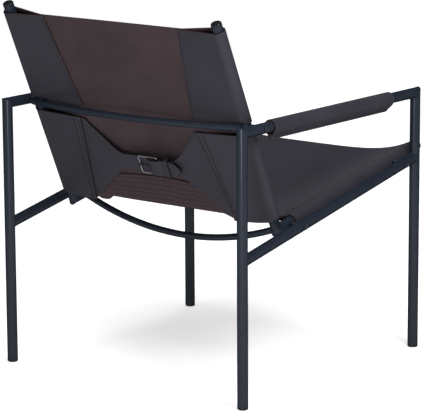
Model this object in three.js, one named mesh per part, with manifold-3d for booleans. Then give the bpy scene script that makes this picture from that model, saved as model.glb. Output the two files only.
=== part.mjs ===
// A tubular steel lounge chair with a leather sling seat and back, in millimetres.
// X points to the sitter's left, Y to the rear and Z up, so the chair faces -Y. The origin is on the
// floor under the middle of the chair.

import * as THREE from 'three'
import { mergeVertices } from 'three/addons/utils/BufferGeometryUtils.js'
import Module from 'manifold-3d'

const wasm = await Module()
wasm.setup()

// Tubes of the two side frames
const TUBE_R = 11
const WALL = 2
const BORE_R = TUBE_R - WALL
const TUBE_SIDES = 24
const SIDE_X = 303
const REAR_Y = 307
const FRONT_Y = -295
const ARM_Z = 550
const RAIL_REAR_Z = 296
const RAIL_FRONT_Z = 413
const GAP = 0.3

// Inner frame: seat tubes and back tubes stand clear of the side frames on spacers
const INNER_X = 266
const BACK_TILT = THREE.MathUtils.degToRad(24)
const BACK_FOOT_Y = 145.3
const BACK_FOOT_Z = 327
const BACK_TOP_W = 474
const SEAT_TUBE_FRONT_Y = -355.5
const BOW_R = 7
const BACK_BOW_Z = 551
const BACK_BOW_DEPTH = 37.7
const SEAT_BOW_Y = 106.5
const SEAT_BOW_DROP = 55
const SEAT_BOW_LOWER = 4

// Fasteners
const BOLT_R = 3
const BOLT_HOLE_R = 3.3
const HEAD_R = 6
const SPACER_R = 6.5
const REAR_BOLT_Y = 113
const FRONT_BOLT_Y = -248

// Caps and feet
const PLUG_FLANGE = 4
const PLUG_STEM = 14
const GLIDE_HEIGHT = 6

// Leather: the whole hide is one thickness, and it lies loosely round a tube
const LEATHER = 3
const WRAP_R = TUBE_R + 0.55 + LEATHER / 2
const LAYER = LEATHER + 0.6

// Back sling, measured up the back tubes from the foot (w) and behind their plane (n)
const BACK_LOW_W = 21.5
const BACK_HIGH_W = 461
const NOTCH_LOW_W = 230
const NOTCH_HIGH_W = 254
const UPPER_FLAP_TOP_X = 172
const UPPER_FLAP_LOW_X = 139
const LOWER_FLAP_TOP_X = 149
const LOWER_FLAP_LOW_X = 180
const UPPER_SEAM_N = 9
const LOWER_SEAM_TOP_N = 20
const LOWER_SEAM_LOW_N = 17

// Belt and buckle
const STRAP_LOW_W = 115
const STRAP_HIGH_W = 150
const STRAP_MID_W = (STRAP_LOW_W + STRAP_HIGH_W) / 2
const BUCKLE_N = 20
const BUCKLE_HALF_X = 23
const WIRE_R = 1.5
const ROD_GAP = WIRE_R + LEATHER / 2 + 0.9
const PRONG_R = 1.4
const PRONG_EYE_R = 3.6
const TIP_X = -84
const KEEPER_X = -49
const KEEPER_HALF_X = 6
const KEEPER_THICKNESS = 2.2

// Seat sling, measured in the frame of the sloping rails
const SEAT_FRONT_Y = -338
const SEAT_HEM_REAR_Y = 97
const HEM_FLAP_X = 220
const HEM_STITCH_X = 238
const BAND_LOW_W = 26.5
const BAND_HIGH_W = 89.5
const BAND_HALF_X = 168

// Arm sleeves
const SLEEVE_FRONT_Y = -195
const SLEEVE_REAR_Y = 217
const SLEEVE_DROP = 25

// Colours, roughness and metalness
const STEEL = { color: 0x2b333a, roughness: 0.38, metalness: 0.35 }
const PLASTIC = { color: 0x1d2023, roughness: 0.55, metalness: 0 }
const FASTENER = { color: 0x4a5056, roughness: 0.32, metalness: 0.9 }
const WIRE = { color: 0xb9bcc0, roughness: 0.22, metalness: 1 }
const HIDE = { color: 0x2f2c33, roughness: 0.6, metalness: 0 }

const railLength = Math.hypot(REAR_Y - FRONT_Y, RAIL_FRONT_Z - RAIL_REAR_Z)
const railSlope = Math.atan2(RAIL_FRONT_Z - RAIL_REAR_Z, REAR_Y - FRONT_Y)
const railZ = (y) => RAIL_REAR_Z + (REAR_Y - y) * Math.tan(railSlope)

// The back group's axes are X, n (behind the back) and w (up the back tubes). The seat group's axes
// are X, back along the rails, and square to the rails.
const chair = new THREE.Group()
const back = new THREE.Group()
back.position.set(0, BACK_FOOT_Y, BACK_FOOT_Z)
back.rotation.x = -BACK_TILT
const seat = new THREE.Group()
seat.position.set(0, 0, railZ(0))
seat.rotation.x = -railSlope
chair.add(back, seat)
chair.updateMatrixWorld(true)
const toSeat = (world) => seat.worldToLocal(world)
const backToSeat = (x, n, w) => toSeat(back.localToWorld(new THREE.Vector3(x, n, w)))
const seatY = (worldY) => worldY / Math.cos(railSlope)

// Solids

function volume(geometry) {
  const position = geometry.attributes.position
  const index = geometry.index.array
  const [a, b, c] = [new THREE.Vector3(), new THREE.Vector3(), new THREE.Vector3()]
  let total = 0
  for (let i = 0; i < index.length; i += 3) {
    a.fromBufferAttribute(position, index[i])
    b.fromBufferAttribute(position, index[i + 1])
    c.fromBufferAttribute(position, index[i + 2])
    total += a.dot(b.cross(c)) / 6
  }
  return total
}

// A closed mesh of shared vertices whose faces point out
function closed(geometry) {
  const bare = geometry.clone()
  bare.deleteAttribute('normal')
  bare.deleteAttribute('uv')
  const merged = mergeVertices(bare, 1e-4)
  if (volume(merged) < 0) {
    const index = merged.index.array
    for (let i = 0; i < index.length; i += 3) {
      const swap = index[i]
      index[i] = index[i + 1]
      index[i + 1] = swap
    }
  }
  return merged
}

function toManifold(geometry) {
  const solid = closed(geometry)
  const vertProperties = Float32Array.from(solid.attributes.position.array)
  const triVerts = Uint32Array.from(solid.index.array)
  return new wasm.Manifold(new wasm.Mesh({ numProp: 3, vertProperties, triVerts }))
}

function fromManifold(manifold) {
  const mesh = manifold.getMesh()
  const geometry = new THREE.BufferGeometry()
  geometry.setAttribute('position', new THREE.Float32BufferAttribute(mesh.vertProperties, 3))
  geometry.setIndex(new THREE.Uint32BufferAttribute(mesh.triVerts, 1))
  return geometry
}

function subtract(geometry, ...tools) {
  return fromManifold(tools.reduce((rest, tool) => rest.subtract(toManifold(tool)), toManifold(geometry)))
}

function unite(geometry, ...others) {
  return fromManifold(others.reduce((sum, other) => sum.add(toManifold(other)), toManifold(geometry)))
}

function addPiece(parent, name, geometry, look, position = [0, 0, 0], rotation = [0, 0, 0]) {
  const solid = closed(geometry)
  solid.computeVertexNormals()
  const mesh = new THREE.Mesh(solid, new THREE.MeshStandardMaterial(look))
  mesh.name = name
  mesh.position.set(...position)
  mesh.rotation.set(...rotation)
  parent.add(mesh)
  return mesh
}

// A solid of revolution about Z, from points of [radius, height]
function turned(points, sides = TUBE_SIDES) {
  const profile = points.map(([radius, height]) => new THREE.Vector2(radius, height))
  return new THREE.LatheGeometry(profile, sides).rotateX(Math.PI / 2)
}

// A hollow tube along Z from 0 to its length. startZ and endZ give the height of each end over the
// section, so that an end can be mitred or coped.
function tube(length, outer, inner, startZ = () => 0, endZ = () => length) {
  const ring = [[inner, 0], [outer, 0], [outer, length], [inner, length], [inner, 0]]
  const geometry = turned(ring)
  const position = geometry.attributes.position
  for (let i = 0; i < position.count; i += 1) {
    const [x, y, z] = [position.getX(i), position.getY(i), position.getZ(i)]
    position.setZ(i, z < length / 2 ? startZ(x, y) : endZ(x, y))
  }
  return geometry
}

// Height at which a tube meets the side of another tube of the same size, when it leans from the
// square position by an angle towards its own +Y
function cope(lean) {
  const reach = TUBE_R + GAP
  return (x, y) => {
    const side = Math.sqrt(Math.max(reach * reach - x * x, 0))
    return (side - y * Math.sin(lean)) / Math.cos(lean)
  }
}

// A round rod along X, as a cutting tool or a shank
function rodX(radius, fromX, toX, y, z, sides = 16) {
  const rod = new THREE.CylinderGeometry(radius, radius, Math.abs(toX - fromX), sides)
  return rod.rotateZ(Math.PI / 2).translate((fromX + toX) / 2, y, z)
}

class Arc extends THREE.Curve {
  constructor(halfWidth, endX, depth, place) {
    super()
    this.radius = (halfWidth * halfWidth + depth * depth) / (2 * depth)
    this.depth = depth
    this.endX = endX
    this.place = place
  }

  getPoint(t) {
    const x = (2 * t - 1) * this.endX
    const rise = Math.sqrt(this.radius * this.radius - x * x) - this.radius + this.depth
    return new THREE.Vector3(...this.place(x, rise))
  }
}

function rodAlong(curve, radius, steps, sides) {
  const section = new THREE.Shape(new THREE.EllipseCurve(0, 0, radius, radius).getPoints(sides))
  return new THREE.ExtrudeGeometry(section, { steps, extrudePath: curve, curveSegments: sides })
}

// A leather sheet of even thickness over a grid of points in its middle surface. keep says which
// cells of the grid are leather, so a sheet can have notches, slots and cut corners.
function sheet(columns, rows, middle, keep = () => true, thickness = LEATHER) {
  const grid = []
  for (let i = 0; i < columns; i += 1) {
    grid.push([])
    for (let j = 0; j < rows; j += 1) grid[i].push(middle(i, j))
  }
  const normalAt = (i, j) => {
    const along = grid[Math.min(i + 1, columns - 1)][j].clone().sub(grid[Math.max(i - 1, 0)][j])
    const across = grid[i][Math.min(j + 1, rows - 1)].clone().sub(grid[i][Math.max(j - 1, 0)])
    return along.cross(across).normalize()
  }
  const points = []
  for (const side of [0.5, -0.5]) {
    for (let i = 0; i < columns; i += 1) {
      for (let j = 0; j < rows; j += 1) {
        points.push(...grid[i][j].clone().addScaledVector(normalAt(i, j), side * thickness).toArray())
      }
    }
  }
  const id = (i, j, side) => side * columns * rows + i * rows + j
  const filled = (i, j) => i >= 0 && j >= 0 && i < columns - 1 && j < rows - 1 && keep(i, j)
  const faces = []
  const quad = (a, b, c, d) => faces.push(a, b, c, a, c, d)
  const wall = (i0, j0, i1, j1) => quad(id(i0, j0, 0), id(i0, j0, 1), id(i1, j1, 1), id(i1, j1, 0))
  for (let i = 0; i < columns - 1; i += 1) {
    for (let j = 0; j < rows - 1; j += 1) {
      if (!filled(i, j)) continue
      quad(id(i, j, 0), id(i + 1, j, 0), id(i + 1, j + 1, 0), id(i, j + 1, 0))
      quad(id(i, j, 1), id(i, j + 1, 1), id(i + 1, j + 1, 1), id(i + 1, j, 1))
      if (!filled(i, j - 1)) wall(i, j, i + 1, j)
      if (!filled(i, j + 1)) wall(i + 1, j + 1, i, j + 1)
      if (!filled(i - 1, j)) wall(i, j + 1, i, j)
      if (!filled(i + 1, j)) wall(i + 1, j, i + 1, j + 1)
    }
  }
  return meshOf(points, faces)
}

// A mesh that holds only the points its faces use
function meshOf(points, faces) {
  const place = new Map()
  const kept = []
  const index = faces.map((old) => {
    if (!place.has(old)) {
      place.set(old, kept.length / 3)
      kept.push(points[3 * old], points[3 * old + 1], points[3 * old + 2])
    }
    return place.get(old)
  })
  const geometry = new THREE.BufferGeometry()
  geometry.setAttribute('position', new THREE.Float32BufferAttribute(kept, 3))
  geometry.setIndex(index)
  return geometry
}

const mix = (a, b, t) => a + (b - a) * t
const smooth = (t) => t * t * (3 - 2 * t)
const clamp01 = (t) => Math.min(Math.max(t, 0), 1)

// Value at x on a chain of [x, value] points
function chain(points, x) {
  const rising = points[0][0] < points.at(-1)[0] ? points : [...points].reverse()
  if (x <= rising[0][0]) return rising[0][1]
  const next = rising.findIndex(([px]) => px >= x)
  if (next < 0) return rising.at(-1)[1]
  const [x0, v0] = rising[next - 1]
  const [x1, v1] = rising[next]
  return mix(v0, v1, (x - x0) / (x1 - x0))
}

// Side frames

function addSideFrame(side, label) {
  const x = side * SIDE_X
  const legLength = ARM_Z - GLIDE_HEIGHT - GAP
  const mitre = GAP * Math.SQRT1_2
  const legTop = (slant) => (px, py) => legLength + slant * py - mitre
  const leg = (slant) => tube(legLength, TUBE_R, BORE_R, undefined, legTop(slant))
  addPiece(chair, `${label}_rear_leg`, leg(1), STEEL, [x, REAR_Y, GLIDE_HEIGHT + GAP])
  addPiece(chair, `${label}_front_leg`, leg(-1), STEEL, [x, FRONT_Y, GLIDE_HEIGHT + GAP])

  const armLength = REAR_Y - FRONT_Y
  const armBolt = armBoltY()
  const armTube = tube(armLength, TUBE_R, BORE_R, (px, py) => mitre - py, (px, py) => armLength + py - mitre)
  armTube.rotateX(Math.PI / 2).translate(x, REAR_Y, ARM_Z)
  const drilledArm = subtract(armTube, rodX(BOLT_HOLE_R, x - 20, x + 20, armBolt, ARM_Z))
  addPiece(chair, `${label}_arm_tube`, drilledArm, STEEL)

  const rail = tube(
    railLength,
    TUBE_R,
    BORE_R,
    cope(-railSlope),
    (px, py) => railLength - cope(railSlope)(px, py),
  )
  rail.rotateX(Math.PI / 2).translate(x, seatY(REAR_Y), 0)
  const holes = [REAR_BOLT_Y, FRONT_BOLT_Y].map((y) => rodX(BOLT_HOLE_R, x - 20, x + 20, seatY(y), 0))
  addPiece(seat, `${label}_seat_rail`, subtract(rail, ...holes), STEEL)

  for (const [end, y] of [['rear', REAR_Y], ['front', FRONT_Y]]) {
    const glide = [
      [0, 0],
      [TUBE_R - 2, 0],
      [TUBE_R, 1.6],
      [TUBE_R, GLIDE_HEIGHT],
      [BORE_R - GAP, GLIDE_HEIGHT],
      [BORE_R - GAP, GLIDE_HEIGHT + PLUG_STEM],
      [0, GLIDE_HEIGHT + PLUG_STEM],
    ]
    addPiece(chair, `${label}_${end}_glide`, turned(glide), PLASTIC, [x, y, 0])
  }
}

const armBoltY = () => BACK_FOOT_Y + (ARM_Z - BACK_FOOT_Z) * Math.tan(BACK_TILT)

// A button-head bolt lying along X with its head outside, and the spacer between the two tubes
function addFastening(parent, side, label, y, z) {
  const head = TUBE_R + GAP
  const length = SIDE_X + head - INNER_X + 4
  const bolt = [
    [0, -length],
    [BOLT_R, -length],
    [BOLT_R, 0],
    [HEAD_R, 0],
    [HEAD_R, 1],
    [HEAD_R * 0.8, 2.8],
    [HEAD_R * 0.45, 3.6],
    [0, 3.6],
  ]
  const turn = [0, side * Math.PI / 2, 0]
  addPiece(parent, `${label}_bolt`, turned(bolt, 16), FASTENER, [side * (SIDE_X + head), y, z], turn)
  const space = SIDE_X - INNER_X - 2 * head
  const spacer = [[BOLT_HOLE_R, 0], [SPACER_R, 0], [SPACER_R, space], [BOLT_HOLE_R, space], [BOLT_HOLE_R, 0]]
  addPiece(parent, `${label}_spacer`, turned(spacer, 16), FASTENER, [side * (INNER_X + head), y, z], turn)
}

// Inner frame

function plugProfile(flange) {
  return [
    [0, -PLUG_STEM],
    [BORE_R - GAP, -PLUG_STEM],
    [BORE_R - GAP, GAP],
    [TUBE_R, GAP],
    [TUBE_R, flange - 1.2],
    [TUBE_R - 1.4, flange + 0.2],
    [0, flange + 1.2],
  ]
}

// Each back tube and seat tube are mitred together where their axes cross
function addInnerFrame(side, label) {
  const x = side * INNER_X
  const corner = cornerPoint()
  const bend = (Math.PI / 2 + BACK_TILT - railSlope) / 2
  const mitre = GAP / 2 / Math.sin(bend)
  const slant = 1 / Math.tan(bend)
  const backTube = tube(BACK_TOP_W - corner.w, TUBE_R, BORE_R, (px, py) => mitre - slant * py)
  backTube.translate(x, 0, corner.w)
  const armBoltW = (ARM_Z - BACK_FOOT_Z) / Math.cos(BACK_TILT)
  const backHole = rodX(BOLT_HOLE_R, x, side * (INNER_X + 20), 0, armBoltW)
  addPiece(back, `${label}_back_tube`, subtract(backTube, backHole), STEEL)
  addPiece(back, `${label}_back_tube_cap`, turned(plugProfile(PLUG_FLANGE)), PLASTIC, [x, 0, BACK_TOP_W])

  const front = seatY(SEAT_TUBE_FRONT_Y)
  const seatTube = tube(corner.y - front, TUBE_R, BORE_R, (px, py) => mitre + slant * py)
  seatTube.rotateX(Math.PI / 2).translate(x, corner.y, 0)
  const seatHoles = [REAR_BOLT_Y, FRONT_BOLT_Y].map((y) =>
    rodX(BOLT_HOLE_R, x, side * (INNER_X + 20), seatY(y), 0))
  addPiece(seat, `${label}_seat_tube`, subtract(seatTube, ...seatHoles), STEEL)
  const plug = turned(plugProfile(PLUG_FLANGE)).rotateX(Math.PI / 2)
  addPiece(seat, `${label}_seat_tube_plug`, plug, PLASTIC, [x, front, 0])
}

// Where a back tube's axis crosses the plane of the rails: its w, and its place along the rails
function cornerPoint() {
  const low = backToSeat(0, 0, -40)
  const high = backToSeat(0, 0, 40)
  const t = low.z / (low.z - high.z)
  return { w: mix(-40, 40, t), y: mix(low.y, high.y, t) }
}

function addBows() {
  const axisY = BACK_FOOT_Y + (BACK_BOW_Z - BACK_FOOT_Z) * Math.tan(BACK_TILT)
  const endSlope = Math.asin((2 * BACK_BOW_DEPTH * INNER_X) / (INNER_X ** 2 + BACK_BOW_DEPTH ** 2))
  const endY = axisY + (TUBE_R + BOW_R + GAP) / (Math.cos(BACK_TILT) * Math.cos(endSlope))
  const backArc = new Arc(INNER_X, INNER_X + 3, BACK_BOW_DEPTH, (x, rise) => [x, endY + rise, BACK_BOW_Z])
  addPiece(chair, 'back_bow', rodAlong(backArc, BOW_R, 26, 16), STEEL)

  const tubeZ = railZ(SEAT_BOW_Y)
  const endZ = tubeZ - SEAT_BOW_LOWER
  const seatArc = new Arc(INNER_X, INNER_X - 4, SEAT_BOW_DROP, (x, rise) => [x, SEAT_BOW_Y, endZ - rise])
  const tools = [1, -1].map((side) => {
    const tool = new THREE.CylinderGeometry(TUBE_R + GAP, TUBE_R + GAP, 80, 32)
    return tool.rotateX(-railSlope).translate(side * INNER_X, SEAT_BOW_Y, tubeZ)
  })
  addPiece(chair, 'seat_bow', subtract(rodAlong(seatArc, BOW_R, 26, 16), ...tools), STEEL)
}

// Leather wrapped round a tube on the +X side. The angle runs from the tube's second axis (n or z)
// round its outer side.
function wrap(k, fromAngle, toAngle, steps = WRAP_STEPS) {
  const angle = mix(fromAngle, toAngle, k / steps)
  return [INNER_X + WRAP_R * Math.sin(angle), WRAP_R * Math.cos(angle)]
}

// Back sling. Each row of its grid runs from the raw edge of the rear flap, out round the tube and
// back in front to the middle of the panel; k counts along the row.

const FLAP_STEPS = 3
const WRAP_STEPS = 7
const PANEL_STEPS = 6
const backRows = [
  BACK_LOW_W, 46, 66, BAND_HIGH_W, 126, 164, 200, NOTCH_LOW_W, NOTCH_HIGH_W, 302, 352, 406, BACK_HIGH_W,
]
const FRONT_LEAVE = THREE.MathUtils.degToRad(12)
const notchMiddle = (NOTCH_LOW_W + NOTCH_HIGH_W) / 2

// Raw edge of the rear flap, and the seam a little outboard of it
function flapEdgeX(w) {
  if (w > notchMiddle) return chain([[notchMiddle, UPPER_FLAP_LOW_X], [BACK_HIGH_W, UPPER_FLAP_TOP_X]], w)
  return chain([[30, LOWER_FLAP_LOW_X], [NOTCH_LOW_W, LOWER_FLAP_TOP_X]], w)
}

const stitchX = (w) => flapEdgeX(w) + (w > notchMiddle ? 9 : 14)

function seamN(w) {
  if (w > notchMiddle) return UPPER_SEAM_N
  return chain([[20, LOWER_SEAM_LOW_N], [NOTCH_LOW_W, LOWER_SEAM_TOP_N]], w)
}

// Height of the rear flap behind the plane of the tubes
function flapN(x, w) {
  return chain([[stitchX(w), seamN(w)], [INNER_X, WRAP_R]], x)
}

// How many layers lie behind the panel at the seam: the flap, the belt's wing and the seat's band
const layersBehind = (w) => chain([[BAND_HIGH_W, 3], [126, 2], [NOTCH_LOW_W, 2], [NOTCH_HIGH_W, 1]], w)
const panelMiddle = (w) => chain([[0, -1], [66, -1], [126, -14], [200, -10], [264, 0], [352, 5], [461, 5]], w)

function panelStations(w) {
  const edge = flapEdgeX(w)
  const seam = stitchX(w)
  const atSeam = seamN(w) - layersBehind(w) * LAYER
  const inner = [0, 0.3, 0.6, 0.85].map((t) => [
    t * edge,
    mix(panelMiddle(w), atSeam, smooth((t * edge) / seam)),
  ])
  const tangent = [INNER_X - WRAP_R * Math.sin(FRONT_LEAVE), -WRAP_R * Math.cos(FRONT_LEAVE)]
  const between = [mix(seam, tangent[0], 0.5), mix(atSeam, tangent[1], 0.5)]
  return [...inner, [seam, atSeam], between, tangent]
}

const panelN = (x, w) => chain(panelStations(w), Math.abs(x))

function backSectionPoint(k, w) {
  if (k < FLAP_STEPS) {
    const x = [flapEdgeX(w), stitchX(w), mix(stitchX(w), INNER_X, 0.5)][k]
    return [x, flapN(x, w)]
  }
  if (k <= FLAP_STEPS + WRAP_STEPS) return wrap(k - FLAP_STEPS, 0, Math.PI + FRONT_LEAVE)
  return panelStations(w)[FLAP_STEPS + WRAP_STEPS + PANEL_STEPS - k]
}

// The bottom edge is lowest at the flaps, clears the seat tubes in front, and is highest in the
// middle, where the seat's band passes under it. The upper flap's lower edge clears the bow's end.
function backRowW(k, j) {
  if (backRows[j] === NOTCH_HIGH_W) {
    return NOTCH_HIGH_W + chain([[0, 0], [1, 1], [2, 5], [3, 8], [4, 8], [5, 2], [6, 0]], k)
  }
  if (j > 0) return backRows[j]
  const front = FLAP_STEPS + WRAP_STEPS + 2
  const rise = [[0, 0], [1, 0.5], [2, 2], [3, 5.5], [4, 8.5], [6, 10.5], [front, 11], [front + 1, 14]]
  return BACK_LOW_W + chain(rise, k)
}

function addBackSling() {
  const half = FLAP_STEPS + WRAP_STEPS + PANEL_STEPS
  const notchRow = backRows.indexOf(NOTCH_LOW_W)
  const middle = (i, j) => {
    const k = Math.min(i, 2 * half - i)
    const w = backRowW(k, j)
    const [x, n] = backSectionPoint(k, w)
    return new THREE.Vector3(i <= half ? x : -x, n, w)
  }
  // Between the two rows of the notch only the front panel is left
  const keep = (i, j) => j !== notchRow || Math.min(i, 2 * half - 1 - i) >= FLAP_STEPS + WRAP_STEPS - 1
  addPiece(back, 'back_sling', sheet(2 * half + 1, backRows.length, middle, keep), HIDE)
}

// Belt. Each half is a wing sewn under the lower flap that narrows to a strap. The columns run from
// the seam to the strap; across each, t goes from the lower edge to the upper edge, with a middle
// cell that the prong can pass through.

const prongSlot = 3.2 / (STRAP_HIGH_W - STRAP_LOW_W)
const acrossStrap = [0, 0.22, 0.5 - prongSlot, 0.5 + prongSlot, 0.78, 1]
const STRAP_X = 66
const wingColumns = [
  { high: [228, 178], low: [22, 197] },
  { high: [226, 143], low: [33, 170] },
  { high: [210, 130], low: [56, 143] },
  { high: [196, 116], low: [72, 124] },
  { high: [175, 97], low: [88, 104] },
  { high: [158, 80], low: [104, 86] },
  { high: [STRAP_HIGH_W, STRAP_X], low: [STRAP_LOW_W, STRAP_X] },
]
const STRAP_N = BUCKLE_N - LAYER / 2 - 1.5
const UNDER_BAR_N = BUCKLE_N - ROD_GAP
const OVER_BAR_N = BUCKLE_N + ROD_GAP

function wingPoint(side, column, t) {
  const w = mix(column.low[0], column.high[0], t)
  const x = mix(column.low[1], column.high[1], t)
  const edge = flapEdgeX(w)
  const free = clamp01((x - STRAP_X) / (edge - STRAP_X))
  const n = x < edge ? mix(STRAP_N, seamN(w) - LAYER, free) : flapN(x, w) - LAYER
  return new THREE.Vector3(side * x, n, w)
}

// One half of the belt: its wing, then the strap along a path of [x, n, share of the full width]
function beltSheet(side, path, slotFrom, slotTo) {
  const wings = wingColumns.length
  const middle = (i, j) => {
    if (i < wings) return wingPoint(side, wingColumns[i], acrossStrap[j])
    const [x, n, width = 1] = path[i - wings]
    const w = mix(STRAP_LOW_W, STRAP_HIGH_W, 0.5 + (acrossStrap[j] - 0.5) * width)
    return new THREE.Vector3(x, n, w)
  }
  const keep = (i, j) => j !== 2 || i < wings + slotFrom || i >= wings + slotTo
  return sheet(wings + path.length, acrossStrap.length, middle, keep)
}

// The strap that ends in the tip runs under the free bar, up through the frame, over the folded end
// of the other strap and along it through the keeper
function addTipBelt() {
  const path = [
    [40, UNDER_BAR_N],
    [BUCKLE_HALF_X, UNDER_BAR_N],
    [8, UNDER_BAR_N],
    [0, BUCKLE_N],
    [-8, BUCKLE_N + 5],
    [-16, OVER_BAR_N + LAYER],
    [-29, OVER_BAR_N + LAYER],
    [-40, STRAP_N + 2 * LAYER],
    [-60, STRAP_N + 2 * LAYER],
    [-70, STRAP_N + 2 * LAYER + 0.5, 0.74],
    [TIP_X + 5, STRAP_N + 2 * LAYER + 1, 0.36],
    [TIP_X, STRAP_N + 2 * LAYER + 1.2, 0.16],
  ]
  addPiece(back, 'left_belt', beltSheet(1, path, 2, 6), HIDE)
}

// The other strap runs under its bar, folds round it and comes back along its own outer side
function addBuckleBelt() {
  const fold = [-90, -45, 0, 45, 90].map((degrees) => {
    const angle = THREE.MathUtils.degToRad(degrees)
    return [-BUCKLE_HALF_X + ROD_GAP * Math.cos(angle), BUCKLE_N + ROD_GAP * Math.sin(angle), 0.93]
  })
  const path = [[-40, STRAP_N], ...fold, [-40, STRAP_N + LAYER], [-70, STRAP_N + LAYER]]
  addPiece(back, 'right_belt', beltSheet(-1, path, 0, 6), HIDE)
}

// A wire frame round the strap, bent from one rod
function addBuckle() {
  const halfX = BUCKLE_HALF_X
  const halfW = (STRAP_HIGH_W - STRAP_LOW_W) / 2 + 0.6 + WIRE_R
  const corner = 3
  const shape = new THREE.Shape()
  shape.absarc(halfX - corner, -halfW + corner, corner, -Math.PI / 2, 0)
  shape.absarc(halfX - corner, halfW - corner, corner, 0, Math.PI / 2)
  shape.absarc(-halfX + corner, halfW - corner, corner, Math.PI / 2, Math.PI)
  shape.absarc(-halfX + corner, -halfW + corner, corner, Math.PI, 1.5 * Math.PI)
  const line = shape.getPoints(5)
  const sides = 10
  const points = []
  const faces = []
  line.forEach((point, i) => {
    const before = line[(i + line.length - 1) % line.length]
    const after = line[(i + 1) % line.length]
    const out = new THREE.Vector2(after.y - before.y, before.x - after.x).normalize()
    const next = ((i + 1) % line.length) * sides
    for (let k = 0; k < sides; k += 1) {
      const angle = (2 * Math.PI * k) / sides
      const reach = WIRE_R * Math.cos(angle)
      const n = BUCKLE_N + WIRE_R * Math.sin(angle)
      points.push(point.x + out.x * reach, n, STRAP_MID_W + point.y + out.y * reach)
      const turn = (k + 1) % sides
      const [a, b, c, d] = [i * sides + k, i * sides + turn, next + turn, next + k]
      faces.push(a, b, c, a, c, d)
    }
  })
  addPiece(back, 'buckle_frame', meshOf(points, faces), WIRE)
}

// The prong turns on the bar that the right strap folds round, and rests on the free bar
function addProng() {
  const bar = -BUCKLE_HALF_X
  const eyeHalf = 2.2
  const eyeBore = WIRE_R + 0.35
  const eyeRing = [
    [eyeBore, -eyeHalf],
    [PRONG_EYE_R, -eyeHalf],
    [PRONG_EYE_R, eyeHalf],
    [eyeBore, eyeHalf],
    [eyeBore, -eyeHalf],
  ]
  const ring = turned(eyeRing, 20).translate(bar, BUCKLE_N, STRAP_MID_W)
  const rest = BUCKLE_N + WIRE_R + PRONG_R + 0.4
  const spine = new THREE.CatmullRomCurve3([
    new THREE.Vector3(bar + 3, BUCKLE_N + 0.6, STRAP_MID_W),
    new THREE.Vector3(bar + 12, BUCKLE_N + 2.4, STRAP_MID_W),
    new THREE.Vector3(0, rest, STRAP_MID_W),
    new THREE.Vector3(BUCKLE_HALF_X + 3, rest, STRAP_MID_W),
  ])
  addPiece(back, 'buckle_prong', unite(ring, rodAlong(spine, PRONG_R, 10, 8)), WIRE)
}

// A leather loop that holds the strap's tip against the other strap
function addKeeper() {
  const low = new THREE.Vector2(STRAP_N - LEATHER / 2 - 0.6, -(STRAP_HIGH_W - STRAP_LOW_W) / 2 - 0.6)
  const high = new THREE.Vector2(STRAP_N + 2 * LAYER + LEATHER / 2 + 0.6, -low.y)
  const rectangle = (path, grow) => {
    path.moveTo(low.x - grow, low.y - grow)
    path.lineTo(high.x + grow, low.y - grow)
    path.lineTo(high.x + grow, high.y + grow)
    path.lineTo(low.x - grow, high.y + grow)
    path.closePath()
    return path
  }
  const frame = rectangle(new THREE.Shape(), KEEPER_THICKNESS)
  frame.holes.push(rectangle(new THREE.Path(), 0))
  const loop = new THREE.ExtrudeGeometry(frame, { depth: 2 * KEEPER_HALF_X, bevelEnabled: false })
  // The outline is drawn in n and w and pulled out along X
  const axes = new THREE.Matrix4().makeBasis(
    new THREE.Vector3(0, 1, 0),
    new THREE.Vector3(0, 0, 1),
    new THREE.Vector3(1, 0, 0),
  )
  loop.applyMatrix4(axes).translate(KEEPER_X - KEEPER_HALF_X, 0, STRAP_MID_W)
  addPiece(back, 'belt_keeper', loop, HIDE)
}

// Seat sling. Its rows run across the seat in the same way: from the hem's flap under the tube, out
// round the tube and in over the seat.

const SEAT_FLAP_STEPS = 2
const SEAT_WRAP_STEPS = 8
const SEAT_PANEL_STEPS = 6
const SEAT_LEAVE = THREE.MathUtils.degToRad(25)
const FLAP_LEAVE = THREE.MathUtils.degToRad(24)
const seatShares = [0, 0.1, 0.22, 0.37, 0.55, 0.76, 1]
const leaveX = INNER_X - WRAP_R * Math.sin(SEAT_LEAVE)
const leaveZ = WRAP_R * Math.cos(SEAT_LEAVE)

// How deep the hide hangs in the middle at a place along the seat
function seatSag(y) {
  const along = (y - SEAT_FRONT_Y) / (SEAT_HEM_REAR_Y - SEAT_FRONT_Y)
  return chain([[0, 29], [0.12, 37], [0.3, 48], [0.5, 52], [0.7, 48], [0.88, 32], [1, 16]], along)
}

// Height of the seat over the tubes' plane; it leaves the hems on a tangent to the tubes
function seatZ(x, y) {
  const sag = seatSag(y)
  const power = (Math.tan(SEAT_LEAVE) * leaveX) / sag
  return leaveZ - sag * (1 - Math.pow(clamp01(Math.abs(x) / leaveX), power))
}

const flapLeaveX = INNER_X - WRAP_R * Math.sin(FLAP_LEAVE)

function seatSectionPoint(k, y) {
  if (k < SEAT_FLAP_STEPS) {
    const x = [HEM_FLAP_X, HEM_STITCH_X][k]
    return [x, seatZ(x, y) - LAYER]
  }
  if (k <= SEAT_FLAP_STEPS + SEAT_WRAP_STEPS) {
    return wrap(k - SEAT_FLAP_STEPS, Math.PI + FLAP_LEAVE, -SEAT_LEAVE, SEAT_WRAP_STEPS)
  }
  const x = leaveX * (1 - seatShares[k - SEAT_FLAP_STEPS - SEAT_WRAP_STEPS])
  return [x, seatZ(x, y)]
}

// Rows of the seat: along the rails under the hems, then narrowing back to the fold under the back
// sling's edge, and up behind it as a band
const hemRows = [SEAT_FRONT_Y, -320, -290, -245, -195, -135, -75, -20, 40, SEAT_HEM_REAR_Y]
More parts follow.
